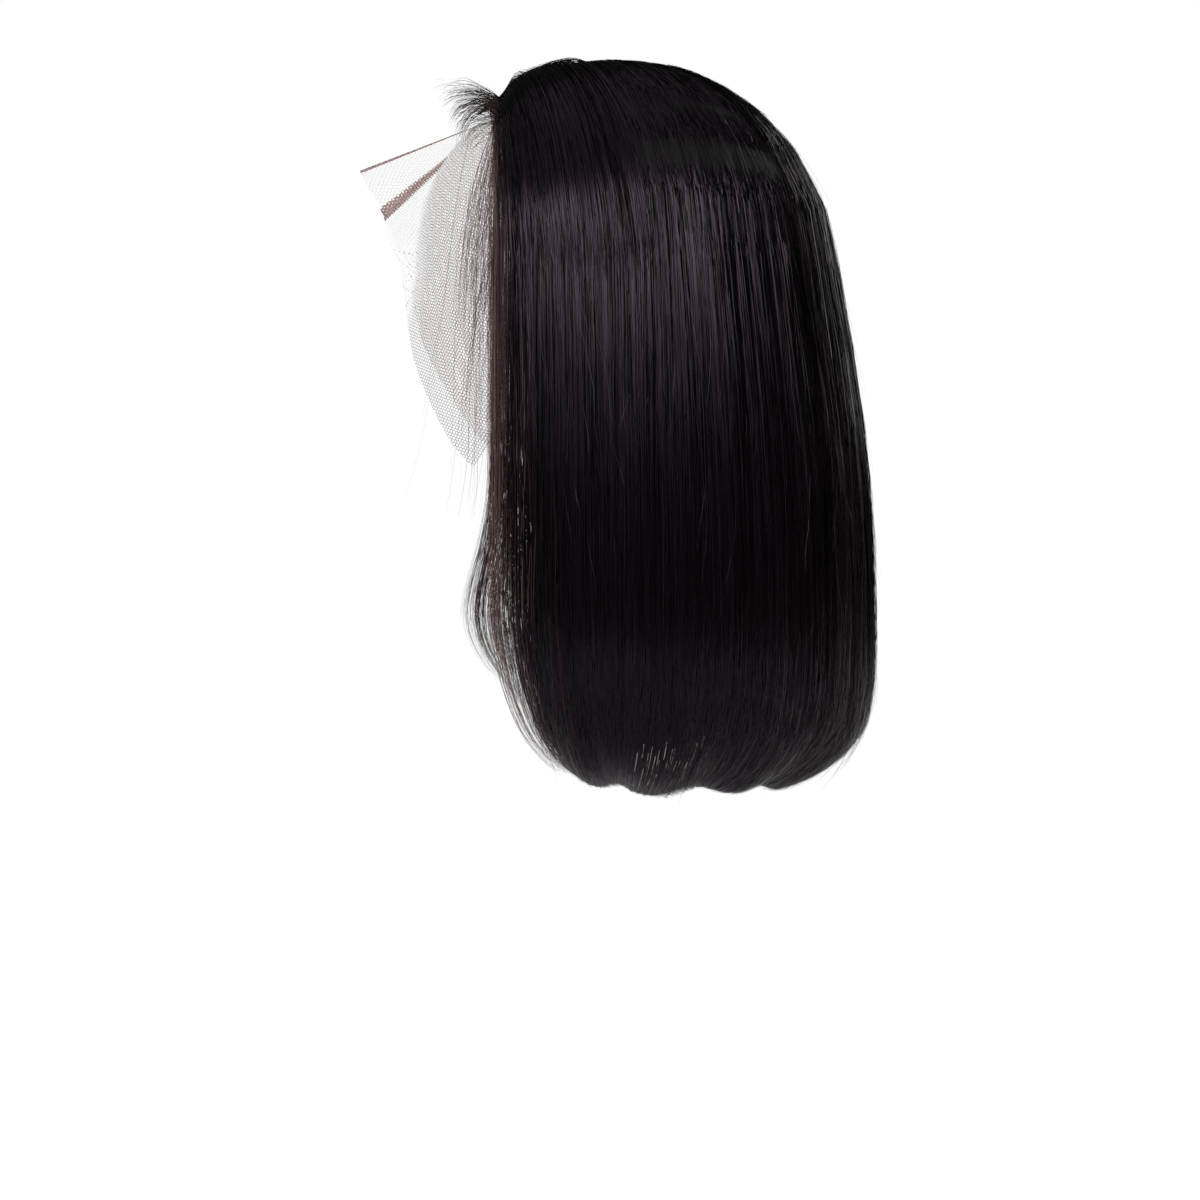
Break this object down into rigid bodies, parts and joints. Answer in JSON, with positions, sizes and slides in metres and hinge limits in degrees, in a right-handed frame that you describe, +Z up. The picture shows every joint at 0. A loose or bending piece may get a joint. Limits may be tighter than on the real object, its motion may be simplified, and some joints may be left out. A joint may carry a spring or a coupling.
{
  "type": "bob wig",
  "caption": "Lace front bob wig of straight dark hair with a middle parting, ends turned under and an untrimmed lace edge with a pinched pleat.",
  "frame": {"origin": "top of the head inside the wig, where the seam of the lace and the cap crosses the crown", "axes": "+Z up, -Y towards the wearer's face, +X towards the wearer's left"},
  "size_m": [0.202, 0.2692, 0.38],
  "materials": {
    "hair": "glossy",
    "cap_net": "matte",
    "lace": "matte"
  },
  "bodies": {
    "root": {"cap": "cap_net", "lace_front": "lace", "hair_left": "hair", "hair_right": "hair", "hair_back": "hair"}
  },
  "joints": []
}
